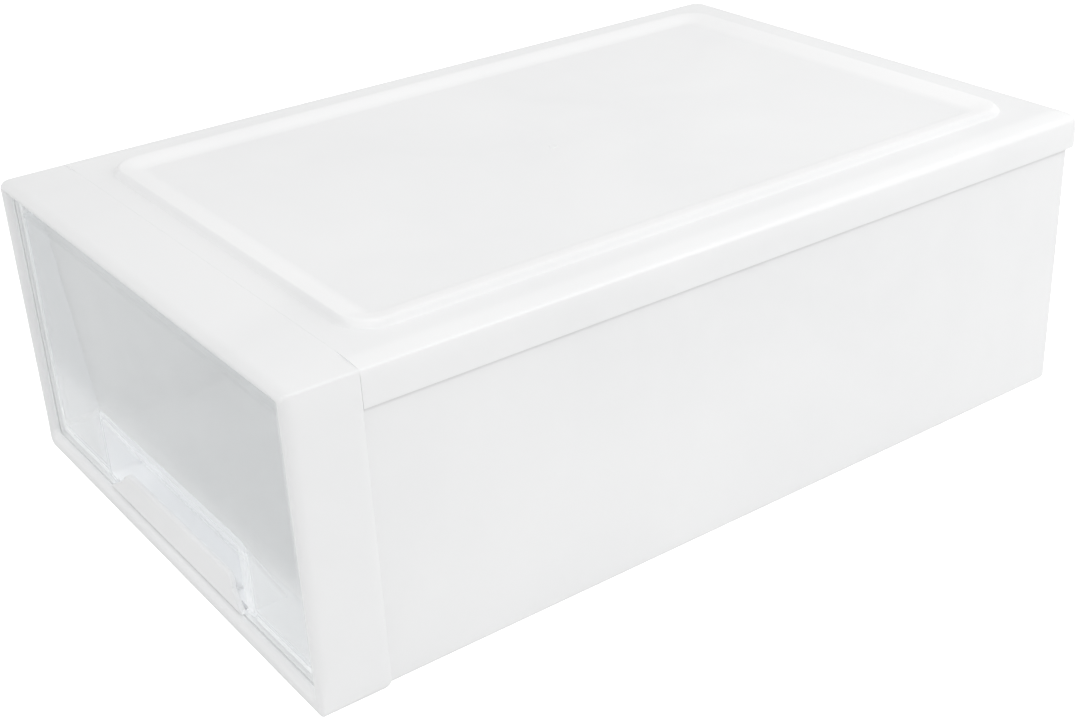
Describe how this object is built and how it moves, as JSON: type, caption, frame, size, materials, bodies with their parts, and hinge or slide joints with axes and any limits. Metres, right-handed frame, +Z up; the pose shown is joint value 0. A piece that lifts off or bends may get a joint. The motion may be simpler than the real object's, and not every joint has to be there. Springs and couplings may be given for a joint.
{
  "type": "shoe box",
  "caption": "Stackable white plastic box for a pair of shoes, with a clear drawer that slides out at the front and a raised stacking bead on top.",
  "frame": {"origin": "middle of the footprint, on the surface the box stands on", "axes": "+Z up, -Y out of the drawer opening, +X to the right of someone facing the drawer from behind the box, that is the viewer's right when facing the drawer front"},
  "size_m": [0.22, 0.34, 0.1152],
  "materials": {
    "white_plastic": "satin moulded, opaque white",
    "frosted_plastic": "natural, slightly frosted",
    "clear_plastic": "clear, polished"
  },
  "bodies": {
    "case": {"case_body": "white_plastic", "top_cover": "white_plastic", "front_frame": "white_plastic"},
    "drawer": {"drawer_tray": "frosted_plastic", "drawer_front": "clear_plastic", "drawer_pull": "white_plastic"}
  },
  "joints": [
    {"name": "drawer_slide", "type": "slide", "parent": "case", "child": "drawer", "axis": [0, -1, 0], "range_m": [0, 0.25]}
  ]
}
